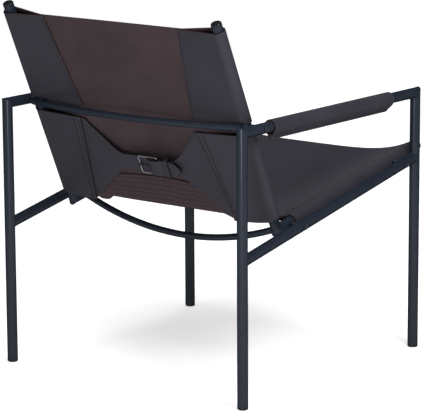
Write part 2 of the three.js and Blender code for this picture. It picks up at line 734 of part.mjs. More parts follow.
// Each row of the fold has an offset from the band's foot, and hangs lower near its ends
const foldRows = [
  { halfX: 192, n: -10, w: -2.5, endN: -5, endW: -17.5 },
  { halfX: 182, n: -3.5, w: -0.5, endN: -5, endW: -14.5 },
  { halfX: 173, n: 0, w: 5.5, endN: 0, endW: -4 },
]
const MIDWAY_HALF_X = 238
const bandRows = [46, 66, BAND_HIGH_W]
const foldW = (x) => BAND_LOW_W + 4 * Math.pow(x / BAND_HALF_X, 2)
const bandN = (x, w) => panelN(x, w) + LAYER + 0.5

function seatPoint(k, j) {
  if (j < hemRows.length) {
    const [x, z] = seatSectionPoint(k, hemRows[j])
    return new THREE.Vector3(x, seatY(hemRows[j]), z)
  }
  const share = seatShares[Math.max(k - SEAT_FLAP_STEPS - SEAT_WRAP_STEPS, 0)]
  const row = j - hemRows.length - 1
  if (row < 0) {
    const point = seatPoint(k, hemRows.length - 1).lerp(seatPoint(k, j + 1), 0.5)
    point.x = MIDWAY_HALF_X * (1 - share)
    return point
  }
  if (row < foldRows.length) {
    const fold = foldRows[row]
    const x = fold.halfX * (1 - share)
    const end = smooth(clamp01((x - 142) / 30))
    const w = foldW(x) + fold.w + end * fold.endW
    return backToSeat(x, bandN(x, 34) + fold.n + end * fold.endN, w)
  }
  const x = BAND_HALF_X * (1 - share)
  const w = bandRows[row - foldRows.length]
  return backToSeat(x, bandN(x, w), w)
}

function addSeatSling() {
  const half = SEAT_FLAP_STEPS + SEAT_WRAP_STEPS + SEAT_PANEL_STEPS
  const rows = hemRows.length + 1 + foldRows.length + bandRows.length
  const middle = (i, j) => {
    const point = seatPoint(Math.min(i, 2 * half - i), j)
    if (i > half) point.x = -point.x
    return point
  }
  const keep = (i, j) => {
    const k = Math.min(i, 2 * half - 1 - i)
    if (k >= SEAT_FLAP_STEPS + SEAT_WRAP_STEPS) return true
    return j < hemRows.length - 1 && (j > 0 || k >= SEAT_FLAP_STEPS + 2)
  }
  const hide = sheet(2 * half + 1, rows, middle, keep)
  const holes = [1, -1].map((side) =>
    rodX(SPACER_R + 1, side * (INNER_X + 2), side * (INNER_X + 20), seatY(FRONT_BOLT_Y), 0))
  addPiece(seat, 'seat_sling', subtract(hide, ...holes), HIDE)
}

// Arm sleeves: a hide folded over the arm tube with its two edges hanging together under it

function sleevePoints() {
  const outer = [
    [LAYER / 2, -SLEEVE_DROP],
    [LAYER / 2, -20],
    [5.2, -15.6],
    [9.6, -10.2],
  ]
  const over = []
  for (let degrees = -25; degrees < 85; degrees += 23) {
    const angle = THREE.MathUtils.degToRad(degrees)
    over.push([WRAP_R * Math.cos(angle), WRAP_R * Math.sin(angle)])
  }
  const half = [...outer, ...over]
  const other = [...half].reverse().map(([x, z]) => [-x, z])
  return [...half, [0, WRAP_R], ...other]
}

function addArmSleeve(side, label) {
  const section = sleevePoints()
  const rows = 6
  const middle = (i, j) => {
    const [x, z] = section[i]
    const y = mix(SLEEVE_FRONT_Y, SLEEVE_REAR_Y, j / (rows - 1))
    return new THREE.Vector3(side * SIDE_X + x, y, ARM_Z + z)
  }
  addPiece(chair, `${label}_arm_sleeve`, sheet(section.length, rows, middle), HIDE)
}

for (const [side, label] of [[1, 'left'], [-1, 'right']]) {
  addSideFrame(side, label)
  addFastening(chair, side, `${label}_arm`, armBoltY(), ARM_Z)
  addFastening(seat, side, `${label}_seat_rear`, seatY(REAR_BOLT_Y), 0)
  addFastening(seat, side, `${label}_seat_front`, seatY(FRONT_BOLT_Y), 0)
  addInnerFrame(side, label)
  addArmSleeve(side, label)
}
addBows()
addBackSling()
addTipBelt()
addBuckleBelt()
addBuckle()
addProng()
addKeeper()
addSeatSling()

export default chair
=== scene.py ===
# %% [markdown]
# A lounge chair seen from behind: a round steel tube frame, and a seat and back cut from thick
# saddle leather that wrap round the tubes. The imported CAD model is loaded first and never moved.
# Its steel parts keep their exact places, and its plain leather solids are replaced by modelled
# hides, so the CAD box is kept here to compare with the finished model at the end.

# %% Load the frame
import math

import bpy
from mathutils import Matrix, Vector


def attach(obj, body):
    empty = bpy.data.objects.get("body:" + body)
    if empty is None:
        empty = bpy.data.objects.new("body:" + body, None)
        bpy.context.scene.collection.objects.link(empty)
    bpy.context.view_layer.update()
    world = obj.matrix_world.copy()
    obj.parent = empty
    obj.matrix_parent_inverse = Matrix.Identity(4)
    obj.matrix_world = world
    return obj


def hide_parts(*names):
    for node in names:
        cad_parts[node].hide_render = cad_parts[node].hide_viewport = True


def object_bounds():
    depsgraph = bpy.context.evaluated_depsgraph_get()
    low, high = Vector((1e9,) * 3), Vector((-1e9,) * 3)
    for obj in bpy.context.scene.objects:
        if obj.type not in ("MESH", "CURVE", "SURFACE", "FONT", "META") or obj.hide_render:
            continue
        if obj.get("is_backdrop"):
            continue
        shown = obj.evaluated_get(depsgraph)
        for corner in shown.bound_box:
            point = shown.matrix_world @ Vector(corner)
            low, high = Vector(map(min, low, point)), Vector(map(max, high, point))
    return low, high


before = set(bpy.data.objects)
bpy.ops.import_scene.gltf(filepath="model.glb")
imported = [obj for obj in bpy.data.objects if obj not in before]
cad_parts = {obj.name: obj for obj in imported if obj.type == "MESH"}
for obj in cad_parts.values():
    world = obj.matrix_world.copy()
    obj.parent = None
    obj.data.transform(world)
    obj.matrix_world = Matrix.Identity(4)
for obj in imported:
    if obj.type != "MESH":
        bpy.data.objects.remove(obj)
cad_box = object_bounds()
scene = bpy.context.scene
print("CAD nodes:", len(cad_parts))

# %% [markdown]
# The chair's own axes are X to the sitter's left, Y to the rear and Z up. The back leans, so the
# back is easier to describe in its own axes: x, n (behind the plane of the back tubes) and w (up
# the tubes). The seat follows the sloping rails in the same way. Lengths are in millimetres here
# and turned into metres at the last step.

# %% Axes of the back and of the seat
MM = 0.001
SIDES = ((1, "left"), (-1, "right"))
TUBE_R = 11
SIDE_X = 303
INNER_X = 266
REAR_Y = 307
FRONT_Y = -295
ARM_Z = 550
RAIL_REAR_Z = 296
RAIL_FRONT_Z = 413
TILT = math.radians(24)
SLOPE = math.atan2(RAIL_FRONT_Z - RAIL_REAR_Z, REAR_Y - FRONT_Y)
BACK_FOOT_Y = 145.3
BACK_FOOT_Z = 327


def rail_z(y):
    return RAIL_REAR_Z + (REAR_Y - y) * math.tan(SLOPE)


def from_back(x, n, w):
    """A point given in the back's axes, in the chair's axes."""
    y = BACK_FOOT_Y + n * math.cos(TILT) + w * math.sin(TILT)
    z = BACK_FOOT_Z - n * math.sin(TILT) + w * math.cos(TILT)
    return Vector((x, y, z)) * MM


def from_seat(x, along, up):
    """A point given in the seat's axes (along the rails, and square to them), in the chair's axes."""
    y = along * math.cos(SLOPE) + up * math.sin(SLOPE)
    z = rail_z(0) - along * math.sin(SLOPE) + up * math.cos(SLOPE)
    return Vector((x, y, z)) * MM


print("rails slope", round(math.degrees(SLOPE), 2), "degrees")

# %% [markdown]
# The camera looks at the chair from behind and to its right, a little above the arms, through a
# long lens. Its place was found by fitting the straight tubes, so it is written as numbers. No
# lens shift is used, so other views are not pushed to one side.

# %% Camera
CAMERA_AT = Vector((-3.2648, 4.2146, 1.4301))
AZIMUTH = math.radians(217.876)
ELEVATION = math.radians(11.863)
ROLL = math.radians(-0.303)
FOCAL_PX = 2595.578
FRAME_PX = 421

away = Vector((
    math.sin(AZIMUTH) * math.cos(ELEVATION),
    -math.cos(AZIMUTH) * math.cos(ELEVATION),
    math.sin(ELEVATION),
))
level = (-away).cross(Vector((0, 0, 1))).normalized()
upright = level.cross(-away)
across = math.cos(ROLL) * level + math.sin(ROLL) * upright
upward = math.cos(ROLL) * upright - math.sin(ROLL) * level

camera_data = bpy.data.cameras.new("camera")
camera_data.sensor_width = 36
camera_data.lens = FOCAL_PX / FRAME_PX * camera_data.sensor_width
camera_data.clip_end = 50
camera = bpy.data.objects.new("camera", camera_data)
scene.collection.objects.link(camera)
camera.matrix_world = Matrix((across, upward, away)).transposed().to_4x4()
camera.location = CAMERA_AT
scene.camera = camera
print("lens", round(camera_data.lens, 1), "mm")

# %% [markdown]
# Small helpers for working as by hand: an operator acts on everything selected, so each step first
# selects only the piece it is for, and a new shape is added with nothing else selected. A finished
# piece keeps its object at the origin, with its place in its mesh, and rides on the CAD body
# "chair". Only the buckle's prong rides on a body of its own.


# %% Helpers for pieces
def only(piece):
    bpy.ops.object.select_all(action="DESELECT")
    piece.select_set(True)
    bpy.context.view_layer.objects.active = piece


def finish_modifier(piece, kind, **settings):
    only(piece)
    modifier = piece.modifiers.new(kind.lower(), kind)
    for key, value in settings.items():
        setattr(modifier, key, value)
    bpy.ops.object.modifier_apply(modifier=modifier.name)


def settle(piece):
    only(piece)
    bpy.ops.object.transform_apply(location=True, rotation=True, scale=True)


def smooth(piece, degrees=35):
    only(piece)
    bpy.ops.object.shade_smooth_by_angle(angle=math.radians(degrees))


def wear(piece, *materials):
    piece.data.materials.clear()
    for material in materials:
        piece.data.materials.append(material)


def join(pieces, name):
    only(pieces[0])
    for piece in pieces:
        piece.select_set(True)
    bpy.ops.object.join()
    pieces[0].name = name
    settle(pieces[0])
    return pieces[0]


# %% [markdown]
# Every finish here breaks up a plain colour a little, as real surfaces do. One node group makes
# soft blotches of two colours and a matching roughness, and it is placed in each material with its
# own scale. It reads Object coordinates, so the pattern stays on the piece in every view.


# %% Group: mottled surface
def new_group(name, inputs, outputs):
    group = bpy.data.node_groups.new(name, "ShaderNodeTree")
    for title, kind, value in inputs:
        socket = group.interface.new_socket(title, in_out="INPUT", socket_type=kind)
        socket.default_value = value
    for title, kind in outputs:
        group.interface.new_socket(title, in_out="OUTPUT", socket_type=kind)
    return group, group.nodes.new("NodeGroupInput"), group.nodes.new("NodeGroupOutput")


COLOUR, NUMBER, ARROW = "NodeSocketColor", "NodeSocketFloat", "NodeSocketVector"
mottle, mottle_in, mottle_out = new_group(
    "mottled_surface",
    [
        ("Light", COLOUR, (0.5, 0.5, 0.5, 1)),
        ("Dark", COLOUR, (0.4, 0.4, 0.4, 1)),
        ("Scale", NUMBER, 30),
        ("Smoothest", NUMBER, 0.4),
        ("Roughest", NUMBER, 0.6),
    ],
    [("Colour", COLOUR), ("Roughness", NUMBER)],
)
spot_place = mottle.nodes.new("ShaderNodeTexCoord")
spots = mottle.nodes.new("ShaderNodeTexNoise")
spots.inputs["Detail"].default_value = 4
spots.inputs["Roughness"].default_value = 0.6
blend = mottle.nodes.new("ShaderNodeMix")
blend.data_type = "RGBA"
spread = mottle.nodes.new("ShaderNodeMapRange")
spread.inputs["From Min"].default_value = 0.3
spread.inputs["From Max"].default_value = 0.7
sheen_range = mottle.nodes.new("ShaderNodeMapRange")
wire = mottle.links.new
wire(spot_place.outputs["Object"], spots.inputs["Vector"])
wire(mottle_in.outputs["Scale"], spots.inputs["Scale"])
wire(spots.outputs["Fac"], spread.inputs["Value"])
wire(spread.outputs["Result"], blend.inputs["Factor"])
wire(mottle_in.outputs["Dark"], blend.inputs["A"])
wire(mottle_in.outputs["Light"], blend.inputs["B"])
wire(spots.outputs["Fac"], sheen_range.inputs["Value"])
wire(mottle_in.outputs["Smoothest"], sheen_range.inputs["To Min"])
wire(mottle_in.outputs["Roughest"], sheen_range.inputs["To Max"])
wire(blend.outputs["Result"], mottle_out.inputs["Colour"])
wire(sheen_range.outputs["Result"], mottle_out.inputs["Roughness"])
print(mottle.name, "has", len(mottle.nodes), "nodes")

# %% [markdown]
# Leather's grain side is covered with small raised cells, and its flesh side with short fibres.
# Both are relief, so a second group turns fine cells and a fine noise into a bumped normal. The
# cell size is about a millimetre, which only shows as a soft breaking up of the gloss from afar.

# %% Group: fine relief
relief, relief_in, relief_out = new_group(
    "fine_relief",
    [
        ("Cells", NUMBER, 900),
        ("Fibres", NUMBER, 400),
        ("Cell share", NUMBER, 0.5),
        ("Depth", NUMBER, 0.0004),
    ],
    [("Normal", ARROW)],
)
relief_place = relief.nodes.new("ShaderNodeTexCoord")
cells = relief.nodes.new("ShaderNodeTexVoronoi")
cells.feature = "SMOOTH_F1"
fibres = relief.nodes.new("ShaderNodeTexNoise")
fibres.inputs["Detail"].default_value = 3
height = relief.nodes.new("ShaderNodeMix")
bump = relief.nodes.new("ShaderNodeBump")
bump.inputs["Strength"].default_value = 0.6
wire = relief.links.new
wire(relief_place.outputs["Object"], cells.inputs["Vector"])
wire(relief_place.outputs["Object"], fibres.inputs["Vector"])
wire(relief_in.outputs["Cells"], cells.inputs["Scale"])
wire(relief_in.outputs["Fibres"], fibres.inputs["Scale"])
wire(relief_in.outputs["Cell share"], height.inputs["Factor"])
wire(fibres.outputs["Fac"], height.inputs["A"])
wire(cells.outputs["Distance"], height.inputs["B"])
wire(height.outputs["Result"], bump.inputs["Height"])
wire(relief_in.outputs["Depth"], bump.inputs["Distance"])
wire(bump.outputs["Normal"], relief_out.inputs["Normal"])
print(relief.name, "has", len(relief.nodes), "nodes")

# %% [markdown]
# A material is then the two groups and a Principled shader. The gloss is a thin coat that fades
# where a surface turns away from the eye, so that dark tubes keep dark edges in front of a white
# background. Layer Weight's Facing says how far a surface is turned away, from 0 to 1: the coat is
# full up to the first of the two values below, and gone from the second.

# %% One recipe for all finishes
COAT_FULL_UP_TO = 0.2
COAT_GONE_FROM = 0.62


def finish_of(
        name, light, dark, scale, rough, cells, fibres, share, depth,
        metallic=0.0, specular=0.0, coat=None):
    """rough is the smoothest and roughest value; coat is the coat's weight and roughness."""
    material = bpy.data.materials.new(name)
    material.use_nodes = True
    nodes, links = material.node_tree.nodes, material.node_tree.links
    shader = nodes["Principled BSDF"]
    shader.inputs["Metallic"].default_value = metallic
    shader.inputs["Specular IOR Level"].default_value = specular
    surface = nodes.new("ShaderNodeGroup")
    surface.node_tree = mottle
    surface.inputs["Light"].default_value = (*light, 1)
    surface.inputs["Dark"].default_value = (*dark, 1)
    surface.inputs["Scale"].default_value = scale
    surface.inputs["Smoothest"].default_value = rough[0]
    surface.inputs["Roughest"].default_value = rough[1]
    texture = nodes.new("ShaderNodeGroup")
    texture.node_tree = relief
    texture.inputs["Cells"].default_value = cells
    texture.inputs["Fibres"].default_value = fibres
    texture.inputs["Cell share"].default_value = share
    texture.inputs["Depth"].default_value = depth
    links.new(surface.outputs["Colour"], shader.inputs["Base Color"])
    links.new(surface.outputs["Roughness"], shader.inputs["Roughness"])
    links.new(texture.outputs["Normal"], shader.inputs["Normal"])
    if coat:
        turned = nodes.new("ShaderNodeLayerWeight")
        gloss = nodes.new("ShaderNodeMapRange")
        gloss.inputs["From Min"].default_value = COAT_FULL_UP_TO
        gloss.inputs["From Max"].default_value = COAT_GONE_FROM
        gloss.inputs["To Min"].default_value = coat[0]
        gloss.inputs["To Max"].default_value = 0
        links.new(turned.outputs["Facing"], gloss.inputs["Value"])
        links.new(gloss.outputs["Result"], shader.inputs["Coat Weight"])
        shader.inputs["Coat Roughness"].default_value = coat[1]
    material.diffuse_color = (*light, 1)
    return material


# %% [markdown]
# The powder coat is blue-black with a low gloss. One dark leather has three looks: violet-grey and
# lightly glossy on its grain side, warm brown and fibrous on its flesh side, and dark brown where it
# is cut. The belt's and keeper's cut edges are near-black instead. This is partly an inked edge, as a
# strap's edge is, and partly a painted shadow for the dark shadow lines along the keeper and the
# strap's tip. Among the small parts only the buckle's wire is bright, a nickel worn to a duller grey.

# %% Finishes of the steel and the leather
powder_coat = finish_of(
    "powder_coat", light=(0.0145, 0.019, 0.029), dark=(0.0115, 0.015, 0.0235), scale=60,
    rough=(0.5, 0.6), cells=900, fibres=1400, share=0.2, depth=0.00012, coat=(0.27, 0.2))
grain_leather = finish_of(
    "grain_leather", light=(0.030, 0.028, 0.037), dark=(0.023, 0.0215, 0.0285), scale=9,
    rough=(0.7, 0.82), cells=1000, fibres=500, share=0.75, depth=0.0003,
    specular=0.05, coat=(0.22, 0.45))
flesh_leather = finish_of(
    "flesh_leather", light=(0.060, 0.044, 0.048), dark=(0.048, 0.035, 0.038), scale=14,
    rough=(0.8, 0.92), cells=700, fibres=650, share=0.2, depth=0.0005)
cut_leather = finish_of(
    "cut_leather", light=(0.030, 0.018, 0.017), dark=(0.020, 0.012, 0.012), scale=60,
    rough=(0.7, 0.9), cells=900, fibres=1200, share=0.2, depth=0.0004)
# Near-black cut edge of the belt and keeper: partly ink, partly a painted shadow along the keeper and
# tip
inked_edge_and_painted_shadow = finish_of(
    "inked_edge_and_painted_shadow", light=(0.010, 0.007, 0.008), dark=(0.006, 0.005, 0.005), scale=60,
    rough=(0.6, 0.8), cells=900, fibres=1200, share=0.2, depth=0.0003)
print("finishes of steel and leather:", len(bpy.data.materials))

# %% Finishes of the small parts
thread = finish_of(
    "thread", light=(0.020, 0.014, 0.014), dark=(0.012, 0.009, 0.009), scale=300,
    rough=(0.6, 0.8), cells=2500, fibres=3000, share=0.3, depth=0.0002)
black_plastic = finish_of(
    "black_plastic", light=(0.010, 0.011, 0.014), dark=(0.006, 0.007, 0.009), scale=80,
    rough=(0.4, 0.5), cells=1500, fibres=1500, share=0.3, depth=0.0001, coat=(0.4, 0.2))
dark_zinc = finish_of(
    "dark_zinc", light=(0.026, 0.03, 0.035), dark=(0.018, 0.021, 0.025), scale=150,
    rough=(0.4, 0.6), cells=900, fibres=2400, share=0.1, depth=0.0001, metallic=0.9)
bright_nickel = finish_of(
    "bright_nickel", light=(0.2, 0.205, 0.22), dark=(0.14, 0.145, 0.155), scale=120,
    rough=(0.25, 0.38), cells=900, fibres=2400, share=0.1, depth=0.0001,
    metallic=1.0, specular=0.5)
print("all finishes:", len(bpy.data.materials))

# %% [markdown]
# The steel, plastic and fasteners already have the right shape in the CAD model, but that mesh is
# loose triangles and shows its facets. A copy of each is merged and smoothed, with a small bevel
# where the real edge is rounded, and stands in for the node.


# %% Finished copies of the hard parts
def finish_node(node, material, edge=0.0, body="chair"):
    """edge is the width of the bevel in millimetres."""
    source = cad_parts[node]
    piece = bpy.data.objects.new(node + "_finished", source.data.copy())
    scene.collection.objects.link(piece)
    only(piece)
    if piece.data.has_custom_normals:
        bpy.ops.mesh.customdata_custom_splitnormals_clear()
    bpy.ops.object.mode_set(mode="EDIT")
    bpy.ops.mesh.select_all(action="SELECT")
    bpy.ops.mesh.remove_doubles(threshold=1e-6)
    bpy.ops.object.mode_set(mode="OBJECT")
    if edge:
        finish_modifier(
            piece, "BEVEL", width=edge * MM, segments=2,
            limit_method="ANGLE", angle_limit=math.radians(40))
    smooth(piece)
    wear(piece, material)
    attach(piece, body)
    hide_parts(node)


for _, label in SIDES:
    for part in ("rear_leg", "front_leg", "arm_tube", "seat_rail", "back_tube", "seat_tube"):
        finish_node(f"{label}_{part}", powder_coat)
    for part in ("rear_glide", "front_glide", "back_tube_cap", "seat_tube_plug"):
        finish_node(f"{label}_{part}", black_plastic, edge=0.5)
    for part in ("arm_spacer", "seat_rear_spacer", "seat_front_spacer"):
        finish_node(f"{label}_{part}", dark_zinc, edge=0.4)
    for part in ("arm_bolt", "seat_rear_bolt", "seat_front_bolt"):
        finish_node(f"{label}_{part}", dark_zinc, edge=0.3)
finish_node("back_bow", powder_coat)
finish_node("seat_bow", powder_coat)
finish_node("buckle_frame", bright_nickel)
finish_node("buckle_prong", dark_zinc, body="prong")

# %% [markdown]
# The tubes are welded. A weld leaves a low rounded bead that follows the line where the two
# surfaces meet, which is a bent ring: a ring on a mitre leans, and one on a tube's side rises and
# falls like a saddle. Each bead starts as a torus, and its points are then raised by that height.
# The bead's thickness ripples a little on the way round, as the welder's steps leave it.

# %% Shape of a weld bead
BEAD_R = 0.9
CORNER_BEAD_R = 0.5
FOOT_BEAD_R = 0.7
RIPPLES = 22
RIPPLE_SHARE = 0.12
FOOT_SLANT = 1 / math.tan((math.pi / 2 + TILT - SLOPE) / 2)


def mitre_height(slant):
    return lambda x, y: slant * y


def saddle_height(lean):
    def height_at(x, y):
        side = math.sqrt(max(TUBE_R * TUBE_R - x * x, 0))
        return (side - y * math.sin(lean)) / math.cos(lean)

    return height_at


def placed(x, y, z, turn_x=0.0):
    return Matrix.Translation(Vector((x, y, z)) * MM) @ Matrix.Rotation(turn_x, 4, "X")


print("mitre at the back's foot leans", round(math.degrees(math.atan(FOOT_SLANT)), 1), "degrees")


# %% Weld beads
def weld(name, height_at, matrix, bead_r=BEAD_R):
    bpy.ops.object.select_all(action="DESELECT")
    bpy.ops.mesh.primitive_torus_add(
        major_segments=48, minor_segments=8, major_radius=TUBE_R * MM, minor_radius=bead_r * MM)
    bead = bpy.context.object
    bead.name = name
    for vertex in bead.data.vertices:
        turn = math.atan2(vertex.co.y, vertex.co.x)
        ripple = 1 + RIPPLE_SHARE * math.sin(RIPPLES * turn)
        flat = Vector((vertex.co.x, vertex.co.y, 0))
        foot = flat.normalized() * TUBE_R
        vertex.co.z = vertex.co.z * ripple + height_at(foot.x, foot.y) * MM
    bead.matrix_world = matrix
    settle(bead)
    smooth(bead, 60)
    wear(bead, powder_coat)
    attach(bead, "chair")


on_tube_side = saddle_height(-SLOPE)
for side, label in SIDES:
    x = side * SIDE_X
    for end, y, slant in (("rear", REAR_Y, 1), ("front", FRONT_Y, -1)):
        corner = placed(x, y, ARM_Z)
        weld(f"{label}_{end}_corner_weld", mitre_height(slant), corner, CORNER_BEAD_R)
    rail_rear = placed(x, REAR_Y, RAIL_REAR_Z, math.pi / 2 - SLOPE)
    weld(f"{label}_rear_rail_weld", on_tube_side, rail_rear)
    rail_front = placed(x, FRONT_Y, RAIL_FRONT_Z, -math.pi / 2 - SLOPE)
    weld(f"{label}_front_rail_weld", on_tube_side, rail_front)
    foot = placed(side * INNER_X, BACK_FOOT_Y, BACK_FOOT_Z, -TILT)
    weld(f"{label}_back_foot_weld", mitre_height(-FOOT_SLANT), foot, FOOT_BEAD_R)

# %% [markdown]
# The hides are all one leather, 3 mm thick. Each is a flat grid whose points are moved to the hide's
# middle surface by a formula, because the real sheet also starts flat and is bent round the tubes.
# Notches are deleted while the grid is flat. Solidify then gives the thickness, with the grain side,
# the flesh side and the cut edge as three materials, and Bevel softens the edges. Where two layers
# lie on each other, their middles are a little more than one thickness apart.

# %% Making a hide
HIDE = 3
HIDE_EDGE = 0.55
LAYER = HIDE + 0.6
TUBE_CLEARANCE = 0.55
WRAP_R = TUBE_R + TUBE_CLEARANCE + HIDE / 2


def give_thickness(hide, rim, thickness=HIDE, edge=HIDE_EDGE, quality=True):
    """rim is the material of the cut; thickness and edge, the bevel's width, are in millimetres."""
    wear(hide, grain_leather, flesh_leather, rim)
    finish_modifier(
        hide, "SOLIDIFY", thickness=thickness * MM, offset=0, use_even_offset=True,
        use_quality_normals=quality, material_offset=1, material_offset_rim=2)
    finish_modifier(
        hide, "BEVEL", width=edge * MM, segments=2,
        limit_method="ANGLE", angle_limit=math.radians(55))
    smooth(hide, 50)
    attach(hide, "chair")


def cut_hide(name, columns, rows, place, keep=None, rim=cut_leather, flip=False):
    """place turns u and v, from 0 to 1 over the grid, into a point; keep says which faces stay."""
    bpy.ops.object.select_all(action="DESELECT")
    bpy.ops.mesh.primitive_grid_add(x_subdivisions=columns, y_subdivisions=rows, size=1)
    hide = bpy.context.object
    hide.name = name
    mesh = hide.data
    if keep:
        bpy.ops.object.mode_set(mode="EDIT")
        bpy.ops.mesh.select_mode(type="FACE")
        bpy.ops.mesh.select_all(action="DESELECT")
        bpy.ops.object.mode_set(mode="OBJECT")
        for face in mesh.polygons:
            face.select = not keep(face.center.x + 0.5, face.center.y + 0.5)
        bpy.ops.object.mode_set(mode="EDIT")
        bpy.ops.mesh.delete(type="FACE")
        bpy.ops.object.mode_set(mode="OBJECT")
    for vertex in mesh.vertices:
        vertex.co = place(vertex.co.x + 0.5, vertex.co.y + 0.5)
    if flip:
        bpy.ops.object.mode_set(mode="EDIT")
        bpy.ops.mesh.select_all(action="SELECT")
        bpy.ops.mesh.flip_normals()
        bpy.ops.object.mode_set(mode="OBJECT")
    give_thickness(hide, rim)
    return hide


print("round a tube, the hide's middle lies", round(WRAP_R, 2), "mm from the axis")

# %% [markdown]
# Two small functions carry the curves: line_at reads a value off a smooth line through a few
# points, and point_at does the same for points in space, as a flexible ruler would. The others
# blend two values, evenly or with a soft start and end.


# %% Smooth lines through points
def mix(a, b, t):
    return a + (b - a) * t


def clamp(t):
    return min(max(t, 0.0), 1.0)


def ease(t):
    t = clamp(t)
    return t * t * (3 - 2 * t)


def hermite(p0, p1, m0, m1, t):
    return (
        p0 * (2 * t**3 - 3 * t**2 + 1) + m0 * (t**3 - 2 * t**2 + t)
        + p1 * (3 * t**2 - 2 * t**3) + m1 * (t**3 - t**2)
    )


def line_at(points, x):
    """Value at x on a smooth line through [x, value] points with rising x."""
    if x <= points[0][0]:
        return points[0][1]
    if x >= points[-1][0]:
        return points[-1][1]
    i = next(k for k in range(1, len(points)) if points[k][0] >= x)
    x0, v0 = points[i - 1]
    x1, v1 = points[i]
    slope = (v1 - v0) / (x1 - x0)
    before = (v1 - points[i - 2][1]) / (x1 - points[i - 2][0]) if i > 1 else slope
    after = (points[i + 1][1] - v0) / (points[i + 1][0] - x0) if i + 1 < len(points) else slope
    step = x1 - x0
    return hermite(v0, v1, before * step, after * step, (x - x0) / step)


def point_at(points, s):
    """Point at s, from 0 to the last index, on a smooth line through vectors."""
    s = min(max(s, 0.0), len(points) - 1.0)
    i = min(int(s), len(points) - 2)
    p0, p1 = points[i], points[i + 1]
    before = (p1 - points[i - 1]) / 2 if i > 0 else p1 - p0
    after = (points[i + 2] - p0) / 2 if i + 2 < len(points) else p1 - p0
    return hermite(p0, p1, before, after, s - i)


print("on a smooth line through 0, 3 and 4, half way to 3 is", line_at([[0, 0], [1, 3], [2, 4]], 0.5))

# %% [markdown]
# The back is one hide. Its two sides wrap round the back tubes and come back behind as flaps, whose
# raw edges are sewn to the panel. A notch between the upper and the lower flap leaves the tube bare
# where the arm is bolted on and the bow is welded. The numbers are places in the back's axes. The
# hide leaves each tube at a small angle, because most of the panel hangs behind the tubes' front.

# %% Edges and seams of the back hide
BACK_LOW_W = 21.5
BACK_HIGH_W = 461
NOTCH_LOW_W = 230
NOTCH_HIGH_W = 254
NOTCH_MIDDLE = (NOTCH_LOW_W + NOTCH_HIGH_W) / 2
# Each pair is the value at the flap's lower end and at its upper end
UPPER_FLAP_X = (139, 172)
LOWER_FLAP_X = (180, 149)
LOWER_SEAM_N = (17, 20)
UPPER_SEAM_N = 9
UPPER_SEAM_INSET = 9
LOWER_SEAM_INSET = 14
# Below these heights the lower flap's edge runs straight up and its seam keeps one depth
EDGE_LEANS_FROM_W = 30
SEAM_RISES_FROM_W = 20


def share_of(value, start, end):
    return clamp((value - start) / (end - start))


def flap_edge_x(w):
    if w > NOTCH_MIDDLE:
        return mix(*UPPER_FLAP_X, share_of(w, NOTCH_MIDDLE, BACK_HIGH_W))
    return mix(*LOWER_FLAP_X, share_of(w, EDGE_LEANS_FROM_W, NOTCH_LOW_W))


def seam_x(w):
    return flap_edge_x(w) + (UPPER_SEAM_INSET if w > NOTCH_MIDDLE else LOWER_SEAM_INSET)


def seam_n(w):
    if w > NOTCH_MIDDLE:
        return UPPER_SEAM_N
    return mix(*LOWER_SEAM_N, share_of(w, SEAM_RISES_FROM_W, NOTCH_LOW_W))


def flap_n(x, w):
    return mix(seam_n(w), WRAP_R, share_of(x, seam_x(w), INNER_X))


print("upper flap's edge at its top: x", flap_edge_x(BACK_HIGH_W), "mm")

# %% Section of the back hide
BAND_HIGH_W = 89.5
LEAVE = math.radians(12)
PANEL_EDGE_X = INNER_X - WRAP_R * math.sin(LEAVE)
PANEL_EDGE_N = -WRAP_R * math.cos(LEAVE)
BACK_FLAP, BACK_WRAP, BACK_PANEL = 16, 22, 40
BACK_FRONT = BACK_FLAP + BACK_WRAP
BACK_HALF = BACK_FRONT + BACK_PANEL
# The panel's middle as [w, n], and how many layers lie on each other at the seam as [w, layers]
PANEL_MIDDLE = [[0, -1], [66, -1], [126, -14], [200, -10], [264, 0], [352, 5], [BACK_HIGH_W, 5]]
SEAM_LAYERS = [
    [0, 3], [BAND_HIGH_W, 3], [126, 2], [NOTCH_LOW_W, 2], [NOTCH_HIGH_W, 1], [BACK_HIGH_W, 1]]


def panel_n(x, w):
    """How far behind the tubes' plane the middle of the panel's thickness is."""
    seam = seam_x(w)
    at_seam = seam_n(w) - line_at(SEAM_LAYERS, w) * LAYER
    x = abs(x)
    if x <= seam:
        return mix(line_at(PANEL_MIDDLE, w), at_seam, ease(x / seam))
    return mix(at_seam, PANEL_EDGE_N, share_of(x, seam, PANEL_EDGE_X))


def wrap(angle):
    """x and n (for the seat, x and height) of leather round the +X tube. The angle runs from
    behind (for the seat, from above) round the tube's outer side."""
    return INNER_X + WRAP_R * math.sin(angle), WRAP_R * math.cos(angle)


def back_section(k, w):
    """x and n on the row at height w; k counts cells from the flap's raw edge to the middle."""
    if k <= BACK_FLAP:
        x = mix(flap_edge_x(w), INNER_X, k / BACK_FLAP)
        return x, flap_n(x, w)
    if k <= BACK_FRONT:
        return wrap((math.pi + LEAVE) * (k - BACK_FLAP) / BACK_WRAP)
    x = PANEL_EDGE_X * (1 - (k - BACK_FRONT) / BACK_PANEL)
    return x, panel_n(x, w)


print("cells across the back hide:", 2 * BACK_HALF)

# %% Rows of the back hide
LOW_ROWS, NOTCH_ROWS, HIGH_ROWS = 42, 5, 42
BACK_ROWS = LOW_ROWS + NOTCH_ROWS + HIGH_ROWS
# How far an edge rises at k cells from the flap's raw edge, as [k, rise]
LOW_EDGE_RISE = [
    [0, 0], [5, 0.5], [11, 2], [BACK_FLAP, 5.5], [20, 8.5], [28, 10.5],
    [BACK_FRONT, 11], [BACK_FRONT + 8, 14], [BACK_HALF, 14]]
BOW_RISE = [[0, 0], [5, 1], [11, 5], [BACK_FLAP, 8], [20, 8], [24, 2], [28, 0], [BACK_HALF, 0]]
# The notch ends this many cells before the hide leaves the tube at the front
NOTCH_END = 3


